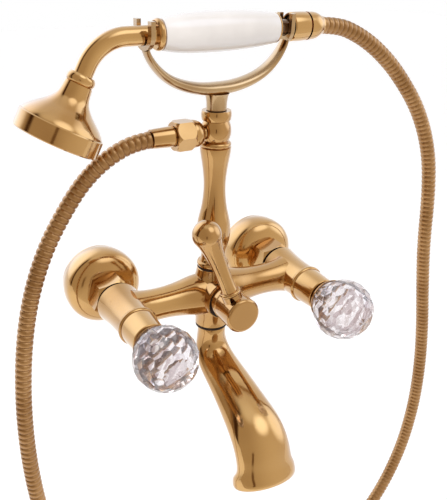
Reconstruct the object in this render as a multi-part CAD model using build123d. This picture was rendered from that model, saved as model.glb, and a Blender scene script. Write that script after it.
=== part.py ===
from build123d import *
import math
import os

os.makedirs("parts", exist_ok=True)

# Frame: X runs along the wall, the wall is the plane Y = 0 and the room is on its -Y side, Z is up.
# The origin lies on the wall, midway between the inlets. A depth is a distance from the wall.

# Layout
INLET_SPACING = 150.0
BODY_DEPTH = 63.3
LEVER_HEIGHT = 1.5
GAP = 0.3
THREAD_GAP = 0.1
SHAFT_GAP = 0.05

# Wall unions, cover flanges and union nuts
WALL_THREAD_RADIUS = 10.48
WALL_THREAD_LENGTH = 14.0
UNION_THREAD_RADIUS = 13.2
UNION_BORE = 8.0
UNION_HEX_FLATS = 24.0
UNION_HEX_DEPTH = 9.0
UNION_NUT_CHAMFER = 2.2
NUT_TURN = 15.0
UNION_DEPTH = 37.4
FLANGE_PROFILE = [
    (1.6, 29.5), (5, 30.4), (10, 31.2), (15, 31.2), (20, 30.1), (24, 27.0), (27, 21.8), (28.2, 16.2),
]
FLANGE_WALL = 1.3
FLANGE_INNER_SHARE = 0.955
FLANGE_LIP_STEP = 0.2
NUT_FLATS = 32.0
NUT_START = 28.6
NUT_END = 45.6
NUT_SHOULDER = 42.4
WASHER_THICK = 2.4
WASHER_RADIUS = 12.0

# Body casting
TAIL_RADIUS = 10.0
TAIL_COLLAR_RADIUS = 12.6
TAIL_COLLAR_THICK = 2.4
BARREL_BACK = 48.1
BARREL_PROFILE = [(49.2, 17.1), (55, 16.2), (63, 15.2), (72, 14.6), (80, 14.4), (85.6, 14.6)]
BARREL_FRONT = 89.4
BARREL_BACK_EDGE = 0.9
BEAD_RADIUS = 15.5
ARM_PROFILE = [(0, 17.4), (9, 16.9), (18, 15.9), (27, 14.2), (38, 12.7), (50, 12.4), (60, 13.3), (68, 15.2)]
ARM_PASSAGE = 5.4
TOP_BOSS_HEIGHT = 22.6
TOP_BOSS_RADIUS = 12.3
TRUNK_PROFILE = [(-22.0, 13.3), (-12.0, 15.4), (0.0, 16.8), (10.0, 15.4), (17.5, 13.2)]
TRUNK_EDGE = 0.6
BOTTOM_BOSS_HEIGHT = -27.9
BOTTOM_BOSS_RADIUS = 13.1
DIVERTER_BOSS_RADIUS = 15.5
DIVERTER_BOSS_DEPTH = 83.6
VALVE_SEAT = 58.0
VALVE_INLET_BORE = 7.0
CAGE_BORE = 9.5
HEADWORK_BORE = 10.5
CHAMBER_RADIUS = 9.2
CHAMBER_DEPTH = 56.0
RISER_SOCKET = 8.5
RISER_SOCKET_HEIGHT = 12.0
SPOUT_SOCKET = 8.6
SPOUT_SOCKET_HEIGHT = -12.0
PASSAGE = 6.0

# Headworks, one in each valve barrel
SEAL_THICK = 2.2
SEAL_BORE = 6.4
DISC_THICK = 3.1
DISC_RADIUS = 8.0
DISC_PORT_OUTER = 6.4
DISC_PORT_INNER = 2.0
CAGE_RADIUS = 9.3
CAGE_END = 73.0
HEADWORK_RADIUS = 10.4
HEADWORK_HEX_FLATS = 20.5
HEADWORK_HEX_DEPTH = 5.6
HEADWORK_NECK = 7.0
HEADWORK_END = 105.0
SPINDLE_RADIUS = 4.0
SPINDLE_FLAT = 3.0
SPINDLE_FOOT_RADIUS = 7.7
SPINDLE_FOOT_THICK = 3.4
SPINDLE_END = 111.6
DISC_TONGUE = 3.0
TONGUE_LENGTH = 13.0
VALVE_TURN = 90.0

# Bonnet covers
BONNET_BACK_RADIUS = 14.2
BONNET_FRONT_RADIUS = 13.1
BONNET_WALL = 1.1
BONNET_END = 109.6
BONNET_MOUTH = 8.4
BONNET_EDGE = 0.9

# Knobs
KNOB_DEPTH = 134.1
KNOB_RADIUS = 23.9
KNOB_FLAT_DEPTH = 113.6
CUP_BACK = 110.4
CUP_RADIUS = 12.7
CUP_EDGE = 1.0
CUP_SHOULDER = (111.8, 13.2)
CUP_LIP_DEPTH = 115.8
CUP_LIP_THICK = 0.7
CUP_HUB_RADIUS = 7.5
CUP_HUB_DEPTH = 105.6
STUD_RADIUS = 3.0
STUD_START = 112.2
STUD_END = 124.0

# Diverter and lever
TRIM_RADIUS = 14.8
TRIM_THICK = 0.9
TRIM_BORE = 6.0
HUB_START = 84.7
HUB_END = 112.7
HUB_RADIUS = 13.7
HUB_WAIST = 13.0
HUB_EDGE = 0.9
HUB_FRONT_EDGE = 2.4
HUB_GROOVE_DEPTH = 91.0
LEVER_DEPTH = 104.0
LEVER_LEAN = 19.0
LEVER_BACKWARD = 11.0
LEVER_BOSS_RADIUS = 7.4
LEVER_BOSS_LENGTH = 16.4
COLLAR_RADIUS = 8.0
COLLAR_EDGE = 1.0
COLLAR_LENGTH = 2.8
TANG_START = 8.0
TANG_RADIUS = 4.0
LEVER_STEM = [(0, 6.1), (6, 5.7), (14, 5.7), (23, 6.1), (31, 7.0)]
BALL_RADIUS = 10.9
BALL_CENTRE = 67.0
BALL_SLOPE = 28.0
DIVERTER_SLEEVE = 7.6
DIVERTER_DISC_DEPTH = 66.0
DIVERTER_PORT_OFFSET = 4.0
DIVERTER_PORT_RADIUS = 2.2
DIVERTER_TONGUE_LENGTH = 11.2
DIVERTER_FOOT_THICK = 2.0
CARTRIDGE_HEAD = 8.0
CARTRIDGE_PORT_DEPTH = 61.0
CARTRIDGE_PORT_LENGTH = 7.2
HUB_SCREW_RADIUS = 2.0
HUB_SCREW_SINK = 2.0
SCREW_KEY_RADIUS = 1.1
SCREW_KEY_DEPTH = 2.0
HUB_SCREW_DEPTH = 108.8
HUB_SCREW_LEAN = 33.0
HUB_SPINDLE_END = 110.9

# Riser column: (height, radius) of its turned outline
RISER_BASE = 24.2
RISER_BASE_RADIUS = 12.4
RISER_BASE_THICK = 3.6
RISER_BASE_EDGE = 0.8
BALUSTER = [
    (28.2, 10.2), (32, 9.3), (37, 9.6), (43, 11.6), (49.5, 12.8), (56, 12.8), (63, 11.9), (70, 10.3),
    (77, 9.1), (85, 8.35), (93, 8.35), (101, 9.1), (108, 10.1), (114, 11.1), (118.8, 11.5),
]
BALUSTER_RING = [(119.2, 10.4), (121.0, 11.4), (122.8, 10.4)]
OUTLET_BALL = [(123.2, 9.2), (130.9, 11.1), (138.2, 9.2)]
COLUMN_COLLAR = [(138.8, 10.5), (142.1, 10.95), (145.4, 10.5)]
COLUMN_COLLAR_START = 138.4
RISER_BORE = 5.0
RISER_TOP = 145.4
OUTLET_HEIGHT = 130.3
OUTLET_BALL_RADIUS = 11.1
COLUMN_COLLAR_RADIUS = 10.95
RISER_SEAL_RADIUS = 11.9
CRADLE_WASHER_RADIUS = 7.2
CRADLE_WASHER_THICK = 0.5

# Cradle yoke: (x, height, half width front to back, half thickness), from the middle outwards,
# and (half width of the slot, of the plate, height of the seat, of the plate's foot) of its forks
YOKE_SECTIONS = [
    (0, 160.6, 7.6, 4.6), (14, 161.5, 7.5, 4.4), (27, 164.7, 7.2, 4.0), (38, 169.9, 6.8, 3.4),
    (46.0, 176.6, 6.2, 2.8), (51.5, 183.8, 5.6, 2.3), (54.1, 189.6, 5.2, 1.9),
]
FORK_LEFT = (8.8, 14.2, 191.6, 189.0)
FORK_RIGHT = (5.7, 9.2, 192.6, 188.4)
YOKE_STEM = [(0, 7.3), (4.0, 7.4), (8.0, 7.9), (11.4, 8.9)]
YOKE_SPIGOT_RADIUS = 4.9
YOKE_SPIGOT_END = 136.5
FORK_X = 54.6
FORK_THICK = 3.0
FORK_TOP = 208.0
CRADLE_SCREW_HEIGHT = 142.0
CRADLE_SCREW_SINK = 1.0

# Handset, with its handle along X
HANDLE_HEIGHT = 198.5
NECK_RADIUS = 6.3
RIGHT_NECK_RADIUS = 5.4
TUBE_BORE = 4.4
BEAD_LEFT = -47.6
BEAD_EDGE_RADIUS = 9.0
BEAD_TOP_RADIUS = 10.3
BEAD_RIGHT_RADIUS = 9.2
SLEEVE_LEFT = -43.0
SLEEVE_RIGHT = 44.0
SLEEVE_PROFILE = [
    (-43, 10.0), (-38.6, 11.0), (-33, 11.9), (-24, 12.8), (-12, 13.3), (2, 13.35), (16, 12.9), (32, 11.8),
    (44.0, 10.3),
]
SLEEVE_EDGE = 0.8
SLEEVE_BORE = 6.3
CAP_RADIUS = 10.2
CAP_EDGE = 0.6
CAP_END = 45.8
HOSE_THREAD_RADIUS = 8.33
TAIL_THREAD_START = 58.8
RIGHT_SEAT = 64.4
ELBOW_SPIGOT = 3.0
ELBOW_START = -67.4
ELBOW_RADIUS = 31.0
ELBOW_TURN = 61.8
HEAD_NECK = 8.8
HEAD_COLLAR_RADIUS = 9.5
HEAD_COLLAR_TOP_EDGE = 1.6
HEAD_COLLAR_LOW_EDGE = 1.2
HEAD_COLLAR_HALF = 3.2
BELL_PROFILE = [
    (3.6, 9.2), (7, 9.6), (10, 10.1), (13.3, 11.3), (16, 13.3), (19, 16.2), (21.8, 19.6), (24.8, 23.1),
    (27.6, 25.9), (30.2, 27.6),
]
BELL_SHOULDER = 0.4
BELL_THROAT = 9.0
BELL_WALL = 1.5
BELL_SKIRT_RADIUS = 26.6
BELL_SKIRT_END = 36.6
RIM_RADIUS = 28.7
RIM_EDGE = 0.7
RIM_LEDGE = 40.2
RIM_END = 42.4
RIM_MOUTH = 24.8
GASKET_BORE = 23.5
PLATE_RADIUS = 26.5
PLATE_THICK = 1.8
NOZZLE_RADIUS = 0.8
NOZZLE_RINGS = [(5.5, 6), (10.5, 12), (15.5, 18), (20.5, 24)]

# Hose and its two ends
HOSE_RADIUS = 6.0
HOSE_GROOVE = 5.1
HOSE_BORE = 4.0
HOSE_RIBS = 200
RIB_RISE = 0.15
RIB_CREST = 0.6
HOSE_ARC_SHARE = 0.45
HOSE_TAIL = 12.0
HOSE_TAIL_RADIUS = 6.0
HOSE_TAIL_BORE = 3.2
HOSE_FLANGE_RADIUS = 7.9
HOSE_WASHER_BORE = 3.6
HOSE_WASHER_THICK = 2.0
HOSE_FLANGE_THICK = 1.5
RIGHT_NUT_START = 57.0
RIGHT_NUT_END = 70.2
RIGHT_NUT_RADIUS = 10.1
RIGHT_NUT_EDGE = 0.8
RIGHT_NUT_BARREL = 0.2
RIGHT_FERRULE = [(71.7, 9.8), (75.0, 9.7), (78.4, 9.3), (81.0, 8.4), (83.2, 7.3), (85.0, 6.7)]
LEFT_NUT_START = 20.1
LEFT_SEAT = 27.6
LEFT_NUT_END = 34.3
LEFT_NUT_FLATS = 20.0
LEFT_NUT_CHAMFER = 2.4
LEFT_FERRULE = [(34.7, 7.3), (38.0, 7.3), (43.0, 7.1), (48.0, 6.9), (51.5, 6.6)]
NIPPLE_START = 6.0
NIPPLE_NECK = (11.7, 6.0)
NIPPLE_SWELL = (14.8, 8.9)
NIPPLE_DOME_RADIUS = 9.9
HOSE_ROUTE = [
    (-39.5, -63.3, 130.3),
    (-61.2, -63.3, 130.3),
    (-81.4, -62.0, 121.9),
    (-97.8, -58.4, 107.8),
    (-112.3, -57.0, 89.1),
    (-132.9, -61.0, 60.0),
    (-149.2, -66.6, 21.7),
    (-159.2, -71.7, -28.4),
    (-162.6, -73.8, -86.7),
    (-159.7, -75.5, -145.1),
    (-151.0, -77.0, -202.9),
    (-136.1, -78.0, -259.5),
    (-113.3, -78.0, -313.3),
    (-79.2, -77.5, -360.8),
    (-31.8, -76.2, -395.0),
    (23.1, -74.5, -409.5),
    (81.9, -72.6, -406.0),
    (138.3, -69.9, -388.5),
    (189.0, -67.3, -358.0),
    (227.5, -65.1, -315.1),
    (251.2, -63.3, -261.8),
    (259.9, -62.1, -205.0),
    (258.5, -61.5, -152.7),
    (251.6, -61.4, -103.9),
    (241.7, -61.6, -57.6),
    (231.4, -61.9, -5.6),
    (226.2, -62.2, 46.5),
    (216.8, -62.4, 87.8),
    (196.5, -62.6, 126.0),
    (167.0, -62.9, 158.2),
    (143.5, -63.1, 177.3),
    (121.2, -63.3, 190.3),
    (98.3, -63.3, 198.5),
    (73.0, -63.3, 198.5),
]

# Spout: (depth, height, tilt from straight down, half width, half thickness) of its sections
SPOUT_SECTIONS = [
    (63.3, -29.9, 0, 11.5, 11.5), (64.0, -38.5, 10, 11.7, 11.6), (66.6, -52.0, 31, 14.3, 11.2),
    (89.8, -65.2, 58, 17.2, 12.2), (120.5, -77.6, 66, 20.0, 14.6), (140.6, -89.2, 61, 22.2, 15.9),
    (148.9, -101.8, 43, 22.9, 15.0), (150.8, -109.8, 31, 24.2, 14.5), (150.9, -113.8, 23, 26.0, 15.6),
    (151.3, -117.0, 20, 26.5, 17.0), (152.0, -119.8, 20, 26.6, 17.2), (152.7, -121.8, 20, 25.8, 16.5),
]
SPOUT_WALL = 1.8
SPOUT_LEDGE_DROP = 0.5
SPOUT_LEDGE_THICK = 2.2
SPIGOT_RADIUS = 8.3
SPIGOT_TOP = -13.0
SPIGOT_BORE = 6.4
SPIGOT_GROOVE = 7.5
SPIGOT_GROOVE_HALF = 2.4
RING_GROOVE = 7.1
RING_GROOVE_HALF = 1.0
RING_SECTION = 0.65
RING_HEIGHTS = [-15.6, -26.2]
SLIP_WASHER_RADIUS = 12.7
SPOUT_SCREW_HEIGHT = -21.0
SPOUT_SCREW_SINK = 1.0
STRAIGHTENER_SECTION = 8
STRAIGHTENER_THICK = 3.0
STRAIGHTENER_FRAME = 1.2
STRAIGHTENER_BAR = 0.8
STRAIGHTENER_BARS = (-10.5, -3.5, 3.5, 10.5)


def line(*points):
    """Straight edges through (along, radius) points."""
    return Polyline(*[(radius, 0, along) for along, radius in points]).edges()


def arc(*points):
    """An arc through three (along, radius) points."""
    return [ThreePointArc(*[(radius, 0, along) for along, radius in points])]


def curve(*points):
    """A smooth curve through (along, radius) points."""
    return [Spline(*[(radius, 0, along) for along, radius in points])]


def turned(place, *runs):
    """The solid that an outline sweeps about the Z axis of its place."""
    edges = [edge for run in runs for edge in run]
    edges.append(Line(edges[-1] @ 1, edges[0] @ 0))
    return place * revolve(Face(Wire(edges)), Axis.Z)


def rod(place, start, end, radius):
    """A plain cylinder between two places along an axis."""
    bar = Cylinder(radius, end - start, align=(Align.CENTER, Align.CENTER, Align.MIN))
    return place * Pos(0, 0, start) * bar


def tube(place, start, end, radius, bore):
    return rod(place, start, end, radius) - rod(place, start, end, bore)


def hexagon(place, start, end, flats, chamfer=1.0):
    """A hexagonal bar whose corners are turned down at both ends as on a nut."""
    corner = flats / math.sqrt(3)
    length = end - start
    bar = extrude(RegularPolygon(corner, 6), length)
    envelope = turned(
        Location(),
        line(
            (0, 0),
            (0, flats / 2),
            (chamfer, corner),
            (length - chamfer, corner),
            (length, flats / 2),
            (length, 0),
        ),
    )
    return place * Pos(0, 0, start) * (bar & envelope)


def save(name, shape):
    export_step(shape, f"parts/{name}.step")


def wall_axis(x, height=0.0):
    """The axis that leaves the wall towards the room at (x, height)."""
    return Location(Plane(origin=(x, 0, height), x_dir=(1, 0, 0), z_dir=(0, -1, 0)))


def back_axis(height):
    """The axis that leaves the middle of the mixer towards the wall at a height."""
    return Location(Plane(origin=(0, -BODY_DEPTH, height), x_dir=(1, 0, 0), z_dir=(0, 1, 0)))


SIDES = {"left": -1, "right": 1}
TRUNK = Pos(0, -BODY_DEPTH, 0)
DIVERTER = wall_axis(0, LEVER_HEIGHT)
OUTLET = Location(Plane(origin=(0, -BODY_DEPTH, OUTLET_HEIGHT), x_dir=(0, 1, 0), z_dir=(-1, 0, 0)))
HANDLE = Location(Plane(origin=(0, -BODY_DEPTH, HANDLE_HEIGHT), x_dir=(0, 1, 0), z_dir=(1, 0, 0)))


# Wall fittings


def wall_union(place):
    """Straight union: pipe thread into the wall, spanner flats under the flange, nut thread in front."""
    outer = rod(place, -WALL_THREAD_LENGTH, UNION_HEX_DEPTH, WALL_THREAD_RADIUS)
    outer += hexagon(place, GAP, UNION_HEX_DEPTH, UNION_HEX_FLATS)
    outer += rod(place, UNION_HEX_DEPTH, UNION_DEPTH, UNION_THREAD_RADIUS)
    return outer - rod(place, -WALL_THREAD_LENGTH, UNION_DEPTH, UNION_BORE)


def wall_flange(place):
    """Spun bowl, open to the wall, fullest at half its depth, with its mouth round the union."""
    inner = [(FLANGE_INNER_SHARE * along, radius - FLANGE_WALL) for along, radius in FLANGE_PROFILE]
    rim = FLANGE_PROFILE[0]
    lip = rim[1] - FLANGE_LIP_STEP
    return turned(
        place,
        line((0, lip - FLANGE_WALL), (0, lip), rim),
        curve(*FLANGE_PROFILE),
        line(FLANGE_PROFILE[-1], inner[-1]),
        curve(*reversed(inner)),
    )


def union_nut(place):
    nut = hexagon(place * Rot(0, 0, NUT_TURN), NUT_START, NUT_END, NUT_FLATS, UNION_NUT_CHAMFER)
    nut -= rod(place, NUT_START, NUT_SHOULDER, UNION_THREAD_RADIUS + THREAD_GAP)
    return nut - rod(place, NUT_SHOULDER, NUT_END, TAIL_RADIUS + GAP)


# Body casting


def barrel(place):
    """Valve barrel with its bead and the collared tail that the union nut pulls back."""
    back, front = BARREL_PROFILE[0], BARREL_PROFILE[-1]
    tail_end = UNION_DEPTH + WASHER_THICK
    middle = (front[0] + BARREL_FRONT) / 2
    return turned(
        place,
        line(
            (tail_end, 0),
            (tail_end, TAIL_COLLAR_RADIUS),
            (tail_end + TAIL_COLLAR_THICK, TAIL_COLLAR_RADIUS),
            (tail_end + TAIL_COLLAR_THICK, TAIL_RADIUS),
            (BARREL_BACK, TAIL_RADIUS),
            (BARREL_BACK, back[1] - BARREL_BACK_EDGE),
            back,
        ),
        curve(*BARREL_PROFILE),
        arc(front, (middle, BEAD_RADIUS), (BARREL_FRONT, front[1])),
        line((BARREL_FRONT, front[1]), (BARREL_FRONT, 0)),
    )


def arms():
    """Both arms as one turned form that swells towards the trunk and the barrels."""
    right = [(x, radius) for x, radius in ARM_PROFILE]
    left = [(-x, radius) for x, radius in reversed(ARM_PROFILE[1:])]
    axis = Location(Plane(origin=(0, -BODY_DEPTH, 0), x_dir=(0, 1, 0), z_dir=(1, 0, 0)))
    end = ARM_PROFILE[-1]
    return turned(
        axis,
        line((-end[0], 0), (-end[0], end[1])),
        curve(*left, *right),
        line((end[0], end[1]), (end[0], 0)),
    )


def trunk():
    """Upright middle of the casting, from the riser's seat down to the spout's."""
    low, high = BOTTOM_BOSS_HEIGHT, TOP_BOSS_HEIGHT
    low_side = (low + TRUNK_EDGE, BOTTOM_BOSS_RADIUS)
    high_side = (high - TRUNK_EDGE, TOP_BOSS_RADIUS)
    return turned(
        TRUNK,
        line((low, 0), (low, BOTTOM_BOSS_RADIUS - TRUNK_EDGE), low_side),
        curve(low_side, *TRUNK_PROFILE, high_side),
        line(high_side, (high, TOP_BOSS_RADIUS - TRUNK_EDGE), (high, 0)),
    )


def body_waterways():
    """Valve chambers, arm passages, diverter chamber and the sockets for riser and spout."""
    cut = rod(DIVERTER, CHAMBER_DEPTH, DIVERTER_BOSS_DEPTH, CHAMBER_RADIUS)
    cut += rod(TRUNK, BOTTOM_BOSS_HEIGHT, SPOUT_SOCKET_HEIGHT, SPOUT_SOCKET)
    cut += rod(TRUNK, SPOUT_SOCKET_HEIGHT, LEVER_HEIGHT, PASSAGE)
    cut += rod(TRUNK, LEVER_HEIGHT, RISER_SOCKET_HEIGHT, PASSAGE)
    cut += rod(TRUNK, RISER_SOCKET_HEIGHT, TOP_BOSS_HEIGHT, RISER_SOCKET)
    passage = Location(Plane(origin=(0, -BODY_DEPTH - GAP, 0), x_dir=(0, 1, 0), z_dir=(1, 0, 0)))
    half = INLET_SPACING / 2
    cut += rod(passage, -half, half, ARM_PASSAGE)
    for side in SIDES.values():
        place = wall_axis(side * half)
        cut += rod(place, UNION_DEPTH, VALVE_SEAT, VALVE_INLET_BORE)
        cut += rod(place, VALVE_SEAT, CAGE_END, CAGE_BORE)
        cut += rod(place, CAGE_END, BARREL_FRONT, HEADWORK_BORE)
    return cut + rod(back_axis(SPOUT_SCREW_HEIGHT), 0, BODY_DEPTH / 2, HUB_SCREW_RADIUS + SHAFT_GAP)


def body_casting():
    shell = arms() + trunk()
    shell += rod(DIVERTER, BODY_DEPTH, DIVERTER_BOSS_DEPTH, DIVERTER_BOSS_RADIUS)
    for side in SIDES.values():
        shell += barrel(wall_axis(side * INLET_SPACING / 2))
    return shell - body_waterways()


# Headworks, bonnets and knobs


def disc_seal(place):
    return tube(place, VALVE_SEAT, VALVE_SEAT + SEAL_THICK, DISC_RADIUS, SEAL_BORE)


def port_disc(place, start):
    """Fixed ceramic disc with two quarter-circle ports."""
    disc = rod(place, start, start + DISC_THICK, DISC_RADIUS)
    ring = tube(place, start, start + DISC_THICK, DISC_PORT_OUTER, DISC_PORT_INNER)
    middle = DISC_RADIUS / 2
    quarter = Pos(middle, middle, start + DISC_THICK / 2) * Box(DISC_RADIUS, DISC_RADIUS, DISC_THICK)
    return disc - (ring & (place * quarter)) - (ring & (place * Rot(0, 0, 180) * quarter))


def shutter_disc(place, start):
    """Turning ceramic disc: the same ports a quarter turn round, and a slot for the spindle's tongue."""
    disc = port_disc(place * Rot(0, 0, VALVE_TURN), start)
    slot = Pos(0, 0, start + DISC_THICK) * Box(2 * DISC_RADIUS, DISC_TONGUE + 2 * THREAD_GAP, DISC_TONGUE)
    return disc - place * slot


def headwork(place):
    """Brass headwork: windowed cage over the discs, pipe thread, spanner hexagon and neck."""
    hex_end = BARREL_FRONT + HEADWORK_HEX_DEPTH
    outer = rod(place, VALVE_SEAT + GAP, CAGE_END, CAGE_RADIUS)
    outer += rod(place, CAGE_END, BARREL_FRONT, HEADWORK_RADIUS)
    outer += hexagon(place, BARREL_FRONT + THREAD_GAP, hex_end, HEADWORK_HEX_FLATS)
    outer += rod(place, BARREL_FRONT, HEADWORK_END, HEADWORK_NECK)
    outer -= rod(place, VALVE_SEAT, CAGE_END, DISC_RADIUS + THREAD_GAP)
    window = Pos(0, 0, BODY_DEPTH + ARM_PASSAGE) * Box(3 * CAGE_RADIUS, CAGE_RADIUS, ARM_PASSAGE)
    return outer - place * window - rod(place, CAGE_END, HEADWORK_END, SPINDLE_RADIUS + SHAFT_GAP)


def spindle(place, start):
    """Valve spindle: tongue in the turning disc, foot under the headwork, squared end in the knob."""
    foot = rod(place, start, start + SPINDLE_FOOT_THICK, SPINDLE_FOOT_RADIUS)
    tongue = Pos(0, 0, start) * Box(TONGUE_LENGTH, DISC_TONGUE, DISC_TONGUE - 2 * THREAD_GAP)
    shaft = rod(place, start, SPINDLE_END, SPINDLE_RADIUS)
    end = SPINDLE_END - HEADWORK_END
    width = 2 * SPINDLE_RADIUS
    flat = Pos(SPINDLE_FLAT + SPINDLE_RADIUS, 0, SPINDLE_END - end / 2) * Box(width, width, end)
    return foot + place * tongue + (shaft - place * flat)


def bonnet_cover(place):
    """Smooth sleeve that hides the headwork between the barrel's bead and the knob."""
    back = BARREL_FRONT + THREAD_GAP
    front = BONNET_END
    radius = BONNET_FRONT_RADIUS
    edge = BONNET_EDGE
    round_over = 0.3 * edge
    return turned(
        place,
        line((back, BONNET_BACK_RADIUS - BONNET_WALL), (back, BONNET_BACK_RADIUS), (front - edge, radius)),
        arc((front - edge, radius), (front - round_over, radius - round_over), (front, radius - edge)),
        line(
            (front, radius - edge),
            (front, BONNET_MOUTH),
            (front - 2 * BONNET_WALL, BONNET_MOUTH),
            (front - 2 * BONNET_WALL, radius - BONNET_WALL),
        ),
    )


def seat_radius(depth):
    """Radius at a depth of the hollow that the glass ball sits in."""
    return math.sqrt((KNOB_RADIUS + THREAD_GAP) ** 2 - (KNOB_DEPTH - depth) ** 2)


def knob_cup(place):
    """Cup that carries the glass: hub on the spindle, web, and a thin lip round the ball."""
    flat = KNOB_FLAT_DEPTH - THREAD_GAP
    middle = (CUP_LIP_DEPTH + flat) / 2
    hub = (CUP_BACK, CUP_HUB_RADIUS)
    back = (CUP_BACK, CUP_RADIUS - CUP_EDGE)
    lip = (CUP_LIP_DEPTH, seat_radius(CUP_LIP_DEPTH))
    lip_outside = (CUP_LIP_DEPTH, lip[1] + CUP_LIP_THICK)
    cup = turned(
        place,
        line((CUP_HUB_DEPTH, 0), (CUP_HUB_DEPTH, CUP_HUB_RADIUS), hub, back),
        arc(back, CUP_SHOULDER, lip_outside),
        line(lip_outside, lip),
        arc(lip, (middle, seat_radius(middle)), (flat, seat_radius(flat))),
        line((flat, seat_radius(flat)), (flat, 0)),
    )
    cup -= rod(place, CUP_HUB_DEPTH, SPINDLE_END + THREAD_GAP, SPINDLE_RADIUS + THREAD_GAP)
    return cup - rod(place, CUP_HUB_DEPTH, KNOB_FLAT_DEPTH, STUD_RADIUS + SHAFT_GAP)


def crystal_knob(place):
    """Glass ball with a ground flat at its back and a blind hole for the stud."""
    ball = place * Pos(0, 0, KNOB_DEPTH) * Sphere(KNOB_RADIUS)
    width = 2 * KNOB_RADIUS
    ball -= place * Pos(0, 0, KNOB_FLAT_DEPTH - KNOB_RADIUS) * Box(width, width, width)
    return ball - rod(place, KNOB_FLAT_DEPTH, STUD_END + GAP, STUD_RADIUS + SHAFT_GAP)


# Diverter


def lever_place():
    """The lever's own axis, from the hub's axis outwards: leaning left and back towards the wall."""
    lean = math.radians(LEVER_LEAN)
    backward = math.radians(LEVER_BACKWARD)
    away = math.cos(backward)
    direction = (-math.sin(lean) * away, math.sin(backward), math.cos(lean) * away)
    return Location(Plane(origin=(0, -LEVER_DEPTH, LEVER_HEIGHT), x_dir=(0, -1, 0), z_dir=direction))


def diverter_cartridge():
    """Brass sleeve in the chamber: ports above and below, thread at its mouth, bore for the spindle."""
    start = CHAMBER_DEPTH + GAP
    sleeve = rod(DIVERTER, start, DIVERTER_BOSS_DEPTH, CHAMBER_RADIUS - THREAD_GAP)
    sleeve -= rod(DIVERTER, start, DIVERTER_BOSS_DEPTH - CARTRIDGE_HEAD, DIVERTER_SLEEVE)
    port = Box(CHAMBER_RADIUS, 3 * CHAMBER_RADIUS, CARTRIDGE_PORT_LENGTH)
    sleeve -= DIVERTER * Pos(0, 0, CARTRIDGE_PORT_DEPTH) * port
    return sleeve - rod(DIVERTER, start, DIVERTER_BOSS_DEPTH, SPINDLE_RADIUS + SHAFT_GAP)


def diverter_fixed_disc():
    start, end = DIVERTER_DISC_DEPTH, DIVERTER_DISC_DEPTH + DISC_THICK
    disc = rod(DIVERTER, start, end, DIVERTER_SLEEVE - THREAD_GAP)
    for turn in (0, 180):
        port = DIVERTER * Rot(0, 0, turn) * Pos(DIVERTER_PORT_OFFSET, 0, 0)
        disc -= rod(port, start, end, DIVERTER_PORT_RADIUS)
    return disc


def diverter_turning_disc():
    start = DIVERTER_DISC_DEPTH + DISC_THICK + SHAFT_GAP
    disc = rod(DIVERTER, start, start + DISC_THICK, DIVERTER_SLEEVE - GAP)
    disc -= rod(DIVERTER * Pos(DIVERTER_PORT_OFFSET, 0, 0), start, start + DISC_THICK, DIVERTER_PORT_RADIUS)
    slot = Pos(0, 0, start + DISC_THICK) * Box(2 * DISC_RADIUS, DISC_TONGUE + 2 * THREAD_GAP, DISC_TONGUE)
    return disc - DIVERTER * slot


def diverter_spindle():
    start = DIVERTER_DISC_DEPTH + 2 * DISC_THICK + 2 * SHAFT_GAP
    shaft = rod(DIVERTER, start, HUB_SPINDLE_END, SPINDLE_RADIUS)
    shaft += rod(DIVERTER, start, start + DIVERTER_FOOT_THICK, DIVERTER_SLEEVE - 2 * GAP)
    tongue = Pos(0, 0, start) * Box(DIVERTER_TONGUE_LENGTH, DISC_TONGUE, DISC_TONGUE - 2 * THREAD_GAP)
    return shaft + DIVERTER * tongue


def trim_ring():
    start = DIVERTER_BOSS_DEPTH + SHAFT_GAP
    return tube(DIVERTER, start, start + TRIM_THICK, TRIM_RADIUS, TRIM_BORE)


def diverter_hub():
    """Turned hub with a stub for the lever and a plain front face."""
    edge = HUB_EDGE
    back = HUB_START
    groove_start = (HUB_GROOVE_DEPTH - edge, HUB_WAIST)
    groove_end = (HUB_GROOVE_DEPTH + edge, HUB_WAIST)
    side = (HUB_END - HUB_FRONT_EDGE, HUB_RADIUS)
    face = (HUB_END, HUB_RADIUS - HUB_FRONT_EDGE)
    round_over = 0.3 * HUB_FRONT_EDGE
    hub = turned(
        DIVERTER,
        line((back, 0), (back, HUB_WAIST - edge), (back + edge, HUB_WAIST), groove_start),
        arc(groove_start, (HUB_GROOVE_DEPTH, HUB_WAIST - 0.6 * edge), groove_end),
        line(groove_end, side),
        arc(side, (HUB_END - round_over, HUB_RADIUS - round_over), face),
        line(face, (HUB_END, 0)),
    )
    hub += rod(lever_place(), 0, LEVER_BOSS_LENGTH, LEVER_BOSS_RADIUS)
    hub -= rod(DIVERTER, HUB_START, HUB_SPINDLE_END + THREAD_GAP, SPINDLE_RADIUS + THREAD_GAP)
    hub -= rod(lever_place(), TANG_START, LEVER_BOSS_LENGTH, TANG_RADIUS + THREAD_GAP)
    return hub - rod(hub_screw_place(), SPINDLE_RADIUS, 2 * HUB_RADIUS, HUB_SCREW_RADIUS + THREAD_GAP)


def hub_screw_place():
    """Radial axis of the grub screw, in front of the lever's stub."""
    lean = math.radians(HUB_SCREW_LEAN)
    direction = (-math.sin(lean), 0, math.cos(lean))
    return Location(Plane(origin=(0, -HUB_SCREW_DEPTH, LEVER_HEIGHT), x_dir=(0, -1, 0), z_dir=direction))


def grub_screw(place, start, end):
    """Screw with a hexagon socket for a key."""
    key = extrude(RegularPolygon(SCREW_KEY_RADIUS, 6), 2 * SCREW_KEY_DEPTH)
    return rod(place, start, end, HUB_SCREW_RADIUS) - place * Pos(0, 0, end - SCREW_KEY_DEPTH) * key


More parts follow.
